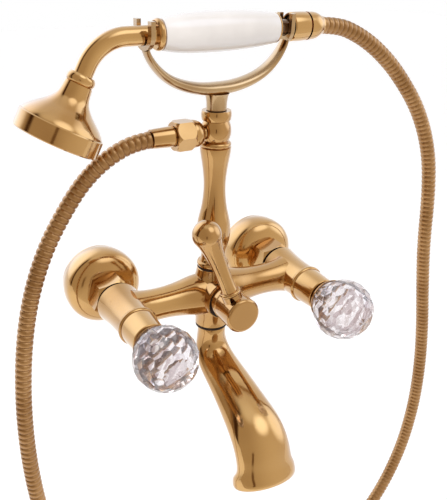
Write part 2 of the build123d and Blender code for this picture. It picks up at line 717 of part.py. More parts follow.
def lever_collar():
    start, end = LEVER_BOSS_LENGTH, LEVER_BOSS_LENGTH + COLLAR_LENGTH
    edge = COLLAR_RADIUS - COLLAR_EDGE
    bore = TANG_RADIUS + THREAD_GAP
    return turned(
        lever_place(),
        line((start, bore), (start, edge)),
        arc((start, edge), ((start + end) / 2, COLLAR_RADIUS), (end, edge)),
        line((end, edge), (end, bore)),
    )


def diverter_lever():
    """Stem that narrows above its foot and swells into a ball."""
    start = LEVER_BOSS_LENGTH + COLLAR_LENGTH
    slope = math.radians(BALL_SLOPE)
    tangent = (BALL_CENTRE - BALL_RADIUS * math.sin(slope), BALL_RADIUS * math.cos(slope))
    ball_side = (BALL_CENTRE + 0.6 * BALL_RADIUS, 0.8 * BALL_RADIUS)
    outline = [(start + along, radius) for along, radius in LEVER_STEM]
    stem = turned(
        lever_place(),
        line((start, 0), outline[0]),
        curve(*outline, tangent),
        arc(tangent, ball_side, (BALL_CENTRE + BALL_RADIUS, 0)),
    )
    return stem + rod(lever_place(), TANG_START + GAP, start, TANG_RADIUS)


# Riser column and cradle


def riser_column():
    """Turned column: thread into the body, base ring, baluster, ring, outlet ball and top collar."""
    base = RISER_BASE
    base_top = base + RISER_BASE_THICK
    foot = RISER_SOCKET_HEIGHT + GAP
    thread = RISER_SOCKET - THREAD_GAP
    edge = RISER_BASE_RADIUS - RISER_BASE_EDGE
    neck = (COLUMN_COLLAR_START, OUTLET_BALL[-1][1])
    column = turned(
        TRUNK,
        line((foot, 0), (foot, thread), (base, thread), (base, edge)),
        arc((base, edge), (base + RISER_BASE_THICK / 2, RISER_BASE_RADIUS), (base_top, edge)),
        line((base_top, edge), BALUSTER[0]),
        curve(*BALUSTER),
        line(BALUSTER[-1], BALUSTER_RING[0]),
        arc(*BALUSTER_RING),
        line(BALUSTER_RING[-1], OUTLET_BALL[0]),
        arc(*OUTLET_BALL),
        line(OUTLET_BALL[-1], neck, COLUMN_COLLAR[0]),
        arc(*COLUMN_COLLAR),
        line(COLUMN_COLLAR[-1], (RISER_TOP, 0)),
    )
    column -= rod(TRUNK, RISER_SOCKET_HEIGHT, OUTLET_HEIGHT + RISER_BORE, RISER_BORE)
    column -= rod(TRUNK, YOKE_SPIGOT_END - GAP, RISER_TOP, YOKE_SPIGOT_RADIUS + THREAD_GAP)
    column -= rod(OUTLET, 0, 2 * OUTLET_BALL_RADIUS, RISER_BORE + THREAD_GAP)
    back = back_axis(CRADLE_SCREW_HEIGHT)
    return column - rod(back, YOKE_SPIGOT_RADIUS, 2 * COLUMN_COLLAR_RADIUS, HUB_SCREW_RADIUS + THREAD_GAP)


def ring_seal(start, end, radius, bore):
    """Flat rubber ring that fills the joint under a turned collar."""
    return tube(TRUNK, start, end, radius, bore)


def yoke_band():
    """Crescent band of the cradle: rounded sections, thick in the middle and thin at the forks."""
    right = YOKE_SECTIONS
    stations = [(-x, *rest) for x, *rest in reversed(right[1:])] + right
    sections = []
    for index, (x, height, half_width, half_thick) in enumerate(stations):
        before = stations[max(index - 1, 0)]
        after = stations[min(index + 1, len(stations) - 1)]
        tangent = (after[0] - before[0], 0, after[1] - before[1])
        place = Plane(origin=(x, -BODY_DEPTH, height), x_dir=(0, 1, 0), z_dir=tangent)
        sections.append(place * Ellipse(half_width, half_thick))
    return loft(sections)


def fork(x, slot_half, plate_half, seat, foot):
    """Upright fork plate, open at the top, whose rounded seat takes the handset's neck."""
    middle = seat + slot_half
    reach = middle - foot
    plate = Circle(reach) & Pos(0, -plate_half) * Rectangle(2 * reach, 2 * plate_half)
    plate = scale(plate, (plate_half / reach, 1, 1))
    plate += Pos(0, (FORK_TOP - middle) / 2) * Rectangle(2 * plate_half, FORK_TOP - middle)
    slot = Circle(slot_half) + Pos(0, plate_half) * Rectangle(2 * slot_half, 2 * plate_half)
    place = Plane(origin=(x - FORK_THICK / 2, -BODY_DEPTH, middle), x_dir=(0, 1, 0), z_dir=(1, 0, 0))
    return extrude(place * (plate - slot), FORK_THICK)


def cradle_yoke():
    start = RISER_TOP + CRADLE_WASHER_THICK
    outline = [(start + along, radius) for along, radius in YOKE_STEM]
    end = YOKE_SPIGOT_END
    stem = turned(
        TRUNK,
        line((end, 0), (end, YOKE_SPIGOT_RADIUS), (start, YOKE_SPIGOT_RADIUS), outline[0]),
        curve(*outline),
        line(outline[-1], (outline[-1][0], 0)),
    )
    return yoke_band() + stem + fork(-FORK_X, *FORK_LEFT) + fork(FORK_X, *FORK_RIGHT)


# Hose outlet


def outlet_nipple():
    """Threaded stub from the column's ball, with a domed shoulder behind the hose nut."""
    shoulder = LEFT_NUT_START - SHAFT_GAP
    body = turned(
        OUTLET,
        line((NIPPLE_START, 0), (NIPPLE_START, RISER_BORE), (NIPPLE_NECK[0], RISER_BORE), NIPPLE_NECK),
        arc(NIPPLE_NECK, NIPPLE_SWELL, (shoulder, NIPPLE_DOME_RADIUS)),
        line(
            (shoulder, NIPPLE_DOME_RADIUS),
            (shoulder, HOSE_THREAD_RADIUS),
            (LEFT_SEAT, HOSE_THREAD_RADIUS),
            (LEFT_SEAT, 0),
        ),
    )
    return body - rod(OUTLET, 0, LEFT_NUT_END, HOSE_TAIL_BORE)


def hose_washer(place, seat):
    return tube(place, seat, seat + HOSE_WASHER_THICK, HOSE_FLANGE_RADIUS, HOSE_WASHER_BORE)


def hose_ferrule(place, seat, profile):
    """Hose end: flanged tail inside the nut, and a ferrule that swallows the end of the hose."""
    flange = seat + HOSE_WASHER_THICK
    neck = flange + HOSE_FLANGE_THICK
    shoulder, end = profile[0], profile[-1]
    ferrule = turned(
        place,
        line(
            (flange, 0),
            (flange, HOSE_FLANGE_RADIUS),
            (neck, HOSE_FLANGE_RADIUS),
            (neck, HOSE_TAIL_RADIUS),
            (shoulder[0], HOSE_TAIL_RADIUS),
            shoulder,
        ),
        curve(*profile),
        line(end, (end[0], 0)),
    )
    ferrule -= rod(place, flange, end[0], HOSE_TAIL_BORE)
    return ferrule - rod(place, end[0] - HOSE_TAIL, end[0], HOSE_GROOVE + SHAFT_GAP)


def nut_lip(seat):
    """Where a hose nut's inward lip starts, in front of the ferrule's flange."""
    return seat + HOSE_WASHER_THICK + HOSE_FLANGE_THICK + THREAD_GAP


def left_hose_nut():
    nut = hexagon(OUTLET, LEFT_NUT_START, LEFT_NUT_END, LEFT_NUT_FLATS, LEFT_NUT_CHAMFER)
    nut -= rod(OUTLET, LEFT_NUT_START, nut_lip(LEFT_SEAT), HOSE_THREAD_RADIUS + THREAD_GAP)
    return nut - rod(OUTLET, LEFT_NUT_START, LEFT_NUT_END, HOSE_TAIL_RADIUS + THREAD_GAP)


def right_hose_nut():
    """Round nut, slightly barrelled."""
    radius = RIGHT_NUT_RADIUS
    start, end = RIGHT_NUT_START, RIGHT_NUT_END
    edge = RIGHT_NUT_EDGE
    waist = radius - RIGHT_NUT_BARREL
    nut = turned(
        HANDLE,
        line((start, 0), (start, radius - edge), (start + edge, waist)),
        arc((start + edge, waist), ((start + end) / 2, radius), (end, waist)),
        line((end, waist), (end, 0)),
    )
    nut -= rod(HANDLE, start, nut_lip(RIGHT_SEAT), HOSE_THREAD_RADIUS + THREAD_GAP)
    return nut - rod(HANDLE, start, end, HOSE_TAIL_RADIUS + THREAD_GAP)


def hose_path():
    """Straight runs joined by arcs, each as large as its two runs allow."""
    points = [Vector(*point) for point in HOSE_ROUTE]
    radii = []
    for before, here, after in zip(points, points[1:], points[2:]):
        shorter = min((here - before).length, (after - here).length)
        turn = (here - before).get_angle(after - here)
        radii.append(HOSE_ARC_SHARE * shorter / math.tan(math.radians(turn) / 2))
    print("hose: smallest radius", round(min(radii), 1), "mm, radii", [round(radius) for radius in radii])
    return FilletPolyline(*points, radius=radii)


def shower_hose():
    """Ribbed tube on the route, with its bore."""
    path = hose_path()
    length = path.length
    pitch = (length - 2 * HOSE_TAIL) / HOSE_RIBS
    rings = [(0.0, HOSE_GROOVE)]
    for rib in range(HOSE_RIBS):
        start = HOSE_TAIL + rib * pitch
        rings += [
            (start, HOSE_GROOVE),
            (start + RIB_RISE * pitch, HOSE_RADIUS),
            (start + (RIB_RISE + RIB_CREST) * pitch, HOSE_RADIUS),
            (start + (2 * RIB_RISE + RIB_CREST) * pitch, HOSE_GROOVE),
        ]
    rings += [(length - HOSE_TAIL, HOSE_GROOVE), (length, HOSE_GROOVE)]
    sections = []
    for along, radius in rings:
        share = along / length
        place = Plane(origin=path @ share, x_dir=(0, 1, 0), z_dir=path % share)
        sections.append(place * Circle(radius))
    outside = loft(sections, ruled=True)
    mouth = Plane(origin=path @ 0, x_dir=(0, 1, 0), z_dir=path % 0)
    bore = sweep(mouth * Circle(HOSE_BORE), path=path)
    hose = outside - bore
    flank = (HOSE_RADIUS**2 + HOSE_RADIUS * HOSE_GROOVE + HOSE_GROOVE**2) / 3
    groove_share = 1 - RIB_CREST - 2 * RIB_RISE
    solid = RIB_CREST * HOSE_RADIUS**2 + 2 * RIB_RISE * flank + groove_share * HOSE_GROOVE**2
    expected = math.pi * (solid - HOSE_BORE**2) * length
    print("hose: length", round(length, 1), "mm")
    print("hose: volume", round(hose.volume), "mm3, section times length", round(expected), "mm3")
    return hose


# Handset


def handle_collar():
    """Rolled bead between the elbow and the ceramic sleeve."""
    middle = (BEAD_LEFT + SLEEVE_LEFT) / 2
    start, end = BEAD_LEFT, SLEEVE_LEFT - SHAFT_GAP
    return turned(
        HANDLE,
        line((start, NECK_RADIUS + SHAFT_GAP), (start, BEAD_EDGE_RADIUS)),
        arc((start, BEAD_EDGE_RADIUS), (middle, BEAD_TOP_RADIUS), (end, BEAD_RIGHT_RADIUS)),
        line((end, BEAD_RIGHT_RADIUS), (end, NECK_RADIUS + SHAFT_GAP)),
    )


def handle_sleeve():
    """Glazed ceramic sleeve, fullest near its middle."""
    left, right = SLEEVE_PROFILE[0], SLEEVE_PROFILE[-1]
    return turned(
        HANDLE,
        line((left[0], SLEEVE_BORE), (left[0], left[1] - SLEEVE_EDGE), left),
        curve(*SLEEVE_PROFILE),
        line(right, (right[0], SLEEVE_BORE)),
    )


def handle_tube():
    """Brass core: through the sleeve, the right-hand neck in the fork, and the hose thread."""
    start = BEAD_LEFT + ELBOW_SPIGOT
    core = rod(HANDLE, start, SLEEVE_RIGHT, SLEEVE_BORE - THREAD_GAP)
    core += rod(HANDLE, SLEEVE_RIGHT, TAIL_THREAD_START, RIGHT_NECK_RADIUS)
    core += rod(HANDLE, TAIL_THREAD_START, RIGHT_SEAT, HOSE_THREAD_RADIUS)
    return core - rod(HANDLE, start, RIGHT_SEAT, TUBE_BORE)


def handle_end_cap():
    """Thin polished ring that closes the sleeve's right end."""
    start = SLEEVE_RIGHT + SHAFT_GAP
    edge = CAP_RADIUS - CAP_EDGE
    bore = RIGHT_NECK_RADIUS + SHAFT_GAP
    return turned(
        HANDLE,
        line((start, bore), (start, edge)),
        arc((start, edge), ((start + CAP_END) / 2, CAP_RADIUS), (CAP_END, edge)),
        line((CAP_END, edge), (CAP_END, bore)),
    )


def head_direction():
    turn = math.radians(ELBOW_TURN)
    return Vector(-math.cos(turn), 0, -math.sin(turn))


def head_origin():
    """Middle of the collar between elbow and bell."""
    turn = math.radians(ELBOW_TURN)
    corner = Vector(
        ELBOW_START - ELBOW_RADIUS * math.sin(turn),
        -BODY_DEPTH,
        HANDLE_HEIGHT - ELBOW_RADIUS * (1 - math.cos(turn)),
    )
    return corner + head_direction() * HEAD_NECK


def head_place():
    return Location(Plane(origin=head_origin(), x_dir=(0, 1, 0), z_dir=head_direction()))


def handset_elbow():
    """Bent tube from the handle's bead to the head's collar."""
    start = Vector(BEAD_LEFT + ELBOW_SPIGOT, -BODY_DEPTH, HANDLE_HEIGHT)
    bend = Vector(ELBOW_START, -BODY_DEPTH, HANDLE_HEIGHT)
    finish = head_origin() - head_direction() * HEAD_COLLAR_HALF
    corner = TangentArc(bend, head_origin() - head_direction() * HEAD_NECK, tangent=(-1, 0, 0))
    route = Wire([Line(start, bend), corner, Line(corner @ 1, finish)])
    mouth = Plane(origin=start, x_dir=(0, 1, 0), z_dir=(-1, 0, 0))
    return sweep(mouth * Circle(NECK_RADIUS), path=route) - sweep(mouth * Circle(TUBE_BORE), path=route)


def elbow_collar():
    half = HEAD_COLLAR_HALF
    top = (-half, HEAD_COLLAR_RADIUS - HEAD_COLLAR_TOP_EDGE)
    low = (half, HEAD_COLLAR_RADIUS - HEAD_COLLAR_LOW_EDGE)
    return turned(
        head_place(),
        line((-half, TUBE_BORE), top),
        arc(top, (0, HEAD_COLLAR_RADIUS), low),
        line(low, (half, TUBE_BORE)),
    )


def spray_bell():
    """Spun bell with a threaded skirt inside the rim ring."""
    top, low = BELL_PROFILE[0], BELL_PROFILE[-1]
    start = top[0] - BELL_SHOULDER
    end = BELL_SKIRT_END
    outer = turned(
        head_place(),
        line((start, 0), (start, top[1]), top),
        curve(*BELL_PROFILE),
        line(low, (low[0], BELL_SKIRT_RADIUS), (end, BELL_SKIRT_RADIUS), (end, 0)),
    )
    inside = [(along + BELL_WALL, radius - BELL_WALL) for along, radius in BELL_PROFILE[3:-1]]
    hollow = turned(
        head_place(),
        line((0, 0), (0, TUBE_BORE), (BELL_THROAT, TUBE_BORE), inside[0]),
        curve(*inside),
        line(inside[-1], (end, BELL_SKIRT_RADIUS - BELL_WALL), (end, 0)),
    )
    return outer - hollow


def rim_ring():
    """Drum band that screws over the bell's skirt and holds the spray plate."""
    top = BELL_PROFILE[-1][0] + SHAFT_GAP
    inner = BELL_SKIRT_RADIUS + THREAD_GAP
    return turned(
        head_place(),
        line(
            (top, inner),
            (top, RIM_RADIUS - RIM_EDGE),
            (top + RIM_EDGE, RIM_RADIUS),
            (RIM_END - RIM_EDGE, RIM_RADIUS),
            (RIM_END, RIM_RADIUS - RIM_EDGE),
            (RIM_END, RIM_MOUTH),
            (RIM_LEDGE, RIM_MOUTH),
            (RIM_LEDGE, inner),
        ),
    )


def spray_gasket():
    return tube(head_place(), BELL_SKIRT_END, RIM_LEDGE - PLATE_THICK, PLATE_RADIUS, GASKET_BORE)


def spray_plate():
    """Perforated plate, its holes on four rings round a centre hole."""
    start = RIM_LEDGE - PLATE_THICK
    plate = rod(head_place(), start, RIM_LEDGE, PLATE_RADIUS)
    holes = [rod(head_place(), start, RIM_LEDGE, NOZZLE_RADIUS)]
    for radius, count in NOZZLE_RINGS:
        for index in range(count):
            spoke = head_place() * Rot(0, 0, 360 * index / count) * Pos(radius, 0, 0)
            holes.append(rod(spoke, start, RIM_LEDGE, NOZZLE_RADIUS))
    return plate - holes


# Spout


def spout_plane(depth, height, tilt):
    """A plane square to the spout's own line, which leans forward from straight down by the tilt."""
    lean = math.radians(tilt)
    return Plane(origin=(0, -depth, height), x_dir=(1, 0, 0), z_dir=(0, -math.sin(lean), -math.cos(lean)))


def spout_loft(shrink):
    """Smooth form through elliptical sections."""
    sections = []
    for depth, height, tilt, half_width, half_thick in SPOUT_SECTIONS:
        section = Ellipse(half_width - shrink, half_thick - shrink)
        sections.append(spout_plane(depth, height, tilt) * section)
    return loft(sections)


def spigot_groove(height, half, radius):
    return tube(TRUNK, height - half, height + half, SPIGOT_RADIUS + 1, radius)


def spout_body():
    """Hollow spout on a ledge and a spigot, with a groove for the screw and two for the rings."""
    shell = spout_loft(0) - spout_loft(SPOUT_WALL)
    shoulder = SPOUT_SECTIONS[0][1] - SPOUT_LEDGE_DROP
    ledge = shoulder - SPOUT_LEDGE_THICK
    web = SPOUT_SECTIONS[0][3] - SPOUT_WALL / 2
    spigot = turned(
        TRUNK,
        line((ledge, SPIGOT_BORE), (ledge, web), (shoulder, web), (shoulder, SPIGOT_RADIUS)),
        line((shoulder, SPIGOT_RADIUS), (SPIGOT_TOP, SPIGOT_RADIUS), (SPIGOT_TOP, SPIGOT_BORE)),
    )
    spigot -= spigot_groove(SPOUT_SCREW_HEIGHT, SPIGOT_GROOVE_HALF, SPIGOT_GROOVE)
    for height in RING_HEIGHTS:
        spigot -= spigot_groove(height, RING_GROOVE_HALF, RING_GROOVE)
    return shell + spigot


def spout_rings():
    """Two rubber rings in the spigot's grooves and the slip washer that the spout turns under."""
    ring = Torus(RING_GROOVE + SHAFT_GAP + RING_SECTION, RING_SECTION)
    rings = [TRUNK * Pos(0, 0, height) * ring for height in RING_HEIGHTS]
    low, high = SPOUT_SECTIONS[0][1] + SHAFT_GAP, BOTTOM_BOSS_HEIGHT - SHAFT_GAP
    rings.append(tube(TRUNK, low, high, SLIP_WASHER_RADIUS, SPIGOT_RADIUS + THREAD_GAP))
    return Compound(rings)


def flow_straightener():
    """Insert that calms the stream: an oval frame with bars, set inside the mouth."""
    depth, height, tilt, half_width, half_thick = SPOUT_SECTIONS[STRAIGHTENER_SECTION]
    room = SPOUT_WALL + GAP
    wide, deep = half_width - room, half_thick - room
    frame = Ellipse(wide, deep) - Ellipse(wide - STRAIGHTENER_FRAME, deep - STRAIGHTENER_FRAME)
    bars = Rectangle(2 * half_width, STRAIGHTENER_BAR)
    for x in STRAIGHTENER_BARS:
        bars += Pos(x, 0) * Rectangle(STRAIGHTENER_BAR, 2 * half_thick)
    grid = frame + (bars & Ellipse(wide, deep))
    return extrude(spout_plane(depth, height, tilt) * grid, STRAIGHTENER_THICK)


# Writing the parts


def build_wall_and_valves():
    washers = []
    seals = []
    fixed_discs = []
    for name, side in SIDES.items():
        place = wall_axis(side * INLET_SPACING / 2)
        save(f"eccentric_union_{name}", wall_union(place))
        save(f"wall_flange_{name}", wall_flange(place))
        save(f"union_nut_{name}", union_nut(place))
        washers.append(tube(place, UNION_DEPTH, UNION_DEPTH + WASHER_THICK, WASHER_RADIUS, UNION_BORE))
        seals.append(disc_seal(place))
        disc = VALVE_SEAT + SEAL_THICK
        fixed_discs.append(port_disc(place, disc))
        moving = disc + DISC_THICK + SHAFT_GAP
        save(f"shutter_disc_{name}", shutter_disc(place, moving))
        save(f"valve_headwork_{name}", headwork(place))
        save(f"valve_spindle_{name}", spindle(place, moving + DISC_THICK + SHAFT_GAP))
        save(f"bonnet_cover_{name}", bonnet_cover(place))
        save(f"knob_cup_{name}", knob_cup(place))
        save(f"knob_stud_{name}", rod(place, STUD_START, STUD_END, STUD_RADIUS))
        save(f"crystal_knob_{name}", crystal_knob(place))
    save("inlet_washers", Compound(washers))
    save("headwork_seals", Compound(seals))
    save("fixed_discs", Compound(fixed_discs))


def build_body_and_diverter():
    save("body_casting", body_casting())
    save("diverter_cartridge", diverter_cartridge())
    save("diverter_fixed_disc", diverter_fixed_disc())
    save("diverter_turning_disc", diverter_turning_disc())
    save("diverter_spindle", diverter_spindle())
    save("diverter_trim_ring", trim_ring())
    save("diverter_hub", diverter_hub())
    screw = grub_screw(hub_screw_place(), SPINDLE_RADIUS + SHAFT_GAP, HUB_RADIUS - HUB_SCREW_SINK)
    save("hub_grub_screw", screw)
    save("lever_collar", lever_collar())
    save("diverter_lever", diverter_lever())


def build_riser():
    save("riser_column", riser_column())
    save("riser_seal", ring_seal(TOP_BOSS_HEIGHT, RISER_BASE, RISER_SEAL_RADIUS, RISER_SOCKET))
    washer_top, washer_bore = RISER_TOP + CRADLE_WASHER_THICK, YOKE_SPIGOT_RADIUS + THREAD_GAP
    save("cradle_washer", ring_seal(RISER_TOP, washer_top, CRADLE_WASHER_RADIUS, washer_bore))
    save("cradle_yoke", cradle_yoke())
    start, end = YOKE_SPIGOT_RADIUS + SHAFT_GAP, COLUMN_COLLAR_RADIUS - CRADLE_SCREW_SINK
    save("cradle_grub_screw", grub_screw(back_axis(CRADLE_SCREW_HEIGHT), start, end))
    save("outlet_nipple", outlet_nipple())


def build_hose():
    save("outlet_hose_washer", hose_washer(OUTLET, LEFT_SEAT))
    save("outlet_hose_nut", left_hose_nut())
    save("outlet_ferrule", hose_ferrule(OUTLET, LEFT_SEAT, LEFT_FERRULE))
    save("shower_hose", shower_hose())
    save("handset_ferrule", hose_ferrule(HANDLE, RIGHT_SEAT, RIGHT_FERRULE))
    save("handset_hose_nut", right_hose_nut())
    save("handset_hose_washer", hose_washer(HANDLE, RIGHT_SEAT))


def build_handset():
    save("handle_collar", handle_collar())
    save("handle_sleeve", handle_sleeve())
    save("handle_tube", handle_tube())
    save("handle_end_cap", handle_end_cap())
    save("handset_elbow", handset_elbow())
    save("elbow_collar", elbow_collar())
    save("spray_bell", spray_bell())
    save("rim_ring", rim_ring())
    save("spray_gasket", spray_gasket())
    save("spray_plate", spray_plate())


def build_spout():
    save("spout_body", spout_body())
    save("spout_rings", spout_rings())
    save("flow_straightener", flow_straightener())
    start, end = SPIGOT_GROOVE + GAP, BOTTOM_BOSS_RADIUS - SPOUT_SCREW_SINK
    save("spout_retaining_screw", grub_screw(back_axis(SPOUT_SCREW_HEIGHT), start, end))


build_wall_and_valves()
build_body_and_diverter()
build_riser()
build_hose()
build_handset()
build_spout()
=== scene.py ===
import math

import bmesh
import bpy
from mathutils import Matrix, Vector


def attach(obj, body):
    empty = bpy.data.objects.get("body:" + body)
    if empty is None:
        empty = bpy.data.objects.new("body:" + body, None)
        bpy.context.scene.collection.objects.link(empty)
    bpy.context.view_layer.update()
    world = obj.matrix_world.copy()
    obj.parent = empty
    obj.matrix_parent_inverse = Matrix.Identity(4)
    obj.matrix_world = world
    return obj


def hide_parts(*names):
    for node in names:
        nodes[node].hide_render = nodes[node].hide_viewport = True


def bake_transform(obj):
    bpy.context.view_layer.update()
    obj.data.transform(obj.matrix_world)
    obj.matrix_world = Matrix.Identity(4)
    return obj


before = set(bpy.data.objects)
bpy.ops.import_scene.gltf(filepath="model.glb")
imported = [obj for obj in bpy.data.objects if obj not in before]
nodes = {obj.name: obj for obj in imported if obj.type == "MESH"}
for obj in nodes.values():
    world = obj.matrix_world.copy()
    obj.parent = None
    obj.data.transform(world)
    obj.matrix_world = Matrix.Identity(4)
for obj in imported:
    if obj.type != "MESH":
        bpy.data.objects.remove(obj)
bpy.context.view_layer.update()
scene = bpy.context.scene


# The viewpoint: the photograph's own, seen a little from the left and from above,
# level, with a normal lens; the picture is 447 by 500.
PICTURE_LONG_SIDE = 500
FOCAL_PIXELS = 656.7
OPTICAL_CENTRE = (176.84, 260.41)
PICTURE_CENTRE = (223.5, 250.0)
SENSOR = 36.0
NEAREST_SEEN = 0.01
EYE = Vector((-0.23287, -0.46834, 0.24999))
EYE_RIGHT = Vector((0.8954, -0.4453, 0.0))
EYE_UP = Vector((0.1921, 0.3862, 0.9022))

lens = bpy.data.cameras.new("viewpoint")
lens.sensor_width = SENSOR
lens.lens = FOCAL_PIXELS * SENSOR / PICTURE_LONG_SIDE
lens.shift_x = (PICTURE_CENTRE[0] - OPTICAL_CENTRE[0]) / PICTURE_LONG_SIDE
lens.shift_y = (OPTICAL_CENTRE[1] - PICTURE_CENTRE[1]) / PICTURE_LONG_SIDE
lens.clip_start = NEAREST_SEEN
viewpoint = bpy.data.objects.new("viewpoint", lens)
scene.collection.objects.link(viewpoint)
across = EYE_RIGHT.normalized()
upward = (EYE_UP - EYE_UP.dot(across) * across).normalized()
turned_to = Matrix((across, upward, across.cross(upward))).transposed().to_4x4()
viewpoint.matrix_world = Matrix.Translation(EYE) @ turned_to
scene.camera = viewpoint


# The shower hose: a gold-plated brass strip wound into a ribbed tube over a rubber
# lining, 1.5 m long, held at both ends by ferrules crimped over its last ribs.
HOSE_ROUTE = [
    (-0.0395, -0.0633, 0.1303), (-0.0612, -0.0633, 0.1303), (-0.0814, -0.0620, 0.1219),
    (-0.0978, -0.0584, 0.1078), (-0.1123, -0.0570, 0.0891), (-0.1329, -0.0610, 0.0600),
    (-0.1492, -0.0666, 0.0217), (-0.1592, -0.0717, -0.0284), (-0.1626, -0.0738, -0.0867),
    (-0.1597, -0.0755, -0.1451), (-0.1510, -0.0770, -0.2029), (-0.1361, -0.0780, -0.2595),
    (-0.1133, -0.0780, -0.3133), (-0.0792, -0.0775, -0.3608), (-0.0318, -0.0762, -0.3950),
    (0.0231, -0.0745, -0.4095), (0.0819, -0.0726, -0.4060), (0.1383, -0.0699, -0.3885),
    (0.1890, -0.0673, -0.3580), (0.2275, -0.0651, -0.3151), (0.2512, -0.0633, -0.2618),
    (0.2599, -0.0621, -0.2050), (0.2585, -0.0615, -0.1527), (0.2516, -0.0614, -0.1039),
    (0.2417, -0.0616, -0.0576), (0.2314, -0.0619, -0.0056), (0.2262, -0.0622, 0.0465),
    (0.2168, -0.0624, 0.0878), (0.1965, -0.0626, 0.1260), (0.1670, -0.0629, 0.1582),
    (0.1435, -0.0631, 0.1773), (0.1212, -0.0633, 0.1903), (0.0983, -0.0633, 0.1985),
    (0.0730, -0.0633, 0.1985),
]
ROUTE_STEPS = 24
HOSE_RADIUS = 0.006
HOSE_SIDES = 28
PLAIN_END = 0.012
PLAIN_END_RADIUS = 0.85 * HOSE_RADIUS
RIB_PITCH = 0.0044
RIB_SHAPE = [
    (0.0, 0.82), (0.07, 0.92), (0.18, 0.98), (0.36, 1.0), (0.62, 0.995), (0.82, 0.965), (0.93, 0.90),
]
HOSE_DEEP = (0.31, 0.156, 0.052)
HOSE_PALE = (0.42, 0.232, 0.092)
MIX_FROM, MIX_TO, MIX_RESULT = 6, 7, 2


class Wire:
    """A socket of a shader tree; an expression on it adds the Math nodes it needs."""

    def __init__(self, tree, socket=None):
        self.tree = tree
        self.socket = socket

    def node(self, kind, settings=(), sockets=(), output=0):
        """A new node in this tree: its settings first, then its sockets' values or links."""
        made = self.tree.nodes.new(kind)
        for name, value in dict(settings).items():
            setattr(made, name, value)
        for name, value in dict(sockets).items():
            if isinstance(value, Wire):
                self.tree.links.new(value.socket, made.inputs[name])
            else:
                made.inputs[name].default_value = value
        return Wire(self.tree, made.outputs[output] if made.outputs else None)

    def math(self, operation, first, second=0.0):
        return self.node("ShaderNodeMath", {"operation": operation}, {0: first, 1: second})

    def __add__(self, other):
        return self.math("ADD", self, other)

    __radd__ = __add__

    def __sub__(self, other):
        return self.math("SUBTRACT", self, other)

    def __rsub__(self, other):
        return self.math("SUBTRACT", other, self)

    def __mul__(self, other):
        return self.math("MULTIPLY", self, other)

    __rmul__ = __mul__

    def magnitude(self):
        return self.math("ABSOLUTE", self)

    def again(self, output):
        """Another output of the same node."""
        return Wire(self.tree, self.socket.node.outputs[output])

    def between(self, low, high):
        """0 below low, 1 above high, smooth in between."""
        return self.node(
            "ShaderNodeMapRange",
            {"interpolation_type": "SMOOTHSTEP"},
            {"Value": self, "From Min": low, "From Max": high},
        )

    def tint(self, dark, light):
        """The colour that goes from dark at 0 to light at 1."""
        ends = [end if isinstance(end, Wire) else (*end, 1.0) for end in (dark, light)]
        sockets = {"Factor": self, MIX_FROM: ends[0], MIX_TO: ends[1]}
        return self.node("ShaderNodeMix", {"data_type": "RGBA"}, sockets, MIX_RESULT)

    def stretched(self, shares):
        """This vector with each of its parts times a number."""
        return self.node("ShaderNodeVectorMath", {"operation": "MULTIPLY"}, {0: self, 1: shares})


def new_finish(name):
    """An empty material, and a wire to start its nodes from."""
    finish = bpy.data.materials.new(name)
    finish.use_nodes = True
    finish.node_tree.nodes.clear()
    return finish, Wire(finish.node_tree)


def surface(start, sockets):
    """Closes a material with a Principled shader."""
    shader = start.node("ShaderNodeBsdfPrincipled", {}, sockets)
    start.node("ShaderNodeOutputMaterial", {}, {"Surface": shader})


def metres(start):
    """Where a point of a piece lies in the frame."""
    return start.node("ShaderNodeTexCoord", output="Object")


def mottle(place, size, seed, detail=2.0):
    """Soft irregular patches about `size` metres across."""
    return place.node(
        "ShaderNodeTexNoise",
        {"noise_dimensions": "4D"},
        {"Vector": place, "W": seed, "Scale": 1.0 / size, "Detail": detail},
    )


def new_mesh(name, points, faces):
    """A smooth-shaded object in the scene."""
    mesh = bpy.data.meshes.new(name)
    mesh.from_pydata(points, [], faces)
    mesh.update()
    mesh.polygons.foreach_set("use_smooth", [True] * len(mesh.polygons))
    made = bpy.data.objects.new(name, mesh)
    scene.collection.objects.link(made)
    return made


route = bpy.data.curves.new("hose_route", "CURVE")
route.dimensions = "3D"
route.resolution_u = ROUTE_STEPS
spline = route.splines.new("NURBS")
spline.points.add(len(HOSE_ROUTE) - 1)
for point, place in zip(spline.points, HOSE_ROUTE):
    point.co = (*place, 1.0)
spline.order_u = 3
spline.use_endpoint_u = True
route_object = bpy.data.objects.new("hose_route", route)
scene.collection.objects.link(route_object)
bpy.context.view_layer.update()
line_mesh = bpy.data.meshes.new_from_object(route_object)
hose_line = [vertex.co.copy() for vertex in line_mesh.vertices]
bpy.data.objects.remove(route_object)


def along(line, distances):
    """Places and directions at those distances along a line of points."""
    spans = [(b - a).length for a, b in zip(line, line[1:])]
    found, index, passed = [], 0, 0.0
    for distance in distances:
        while index < len(spans) - 1 and passed + spans[index] < distance:
            passed += spans[index]
            index += 1
        a, b = line[index], line[index + 1]
        share = min(max((distance - passed) / spans[index], 0.0), 1.0)
        here = (b - a).normalized()
        before = (a - line[index - 1]).normalized() if index else here
        after = (line[index + 2] - b).normalized() if index + 2 < len(line) else here
        start_way, end_way = (before + here).normalized(), (here + after).normalized()
        found.append((a.lerp(b, share), start_way.lerp(end_way, share).normalized()))
    return found


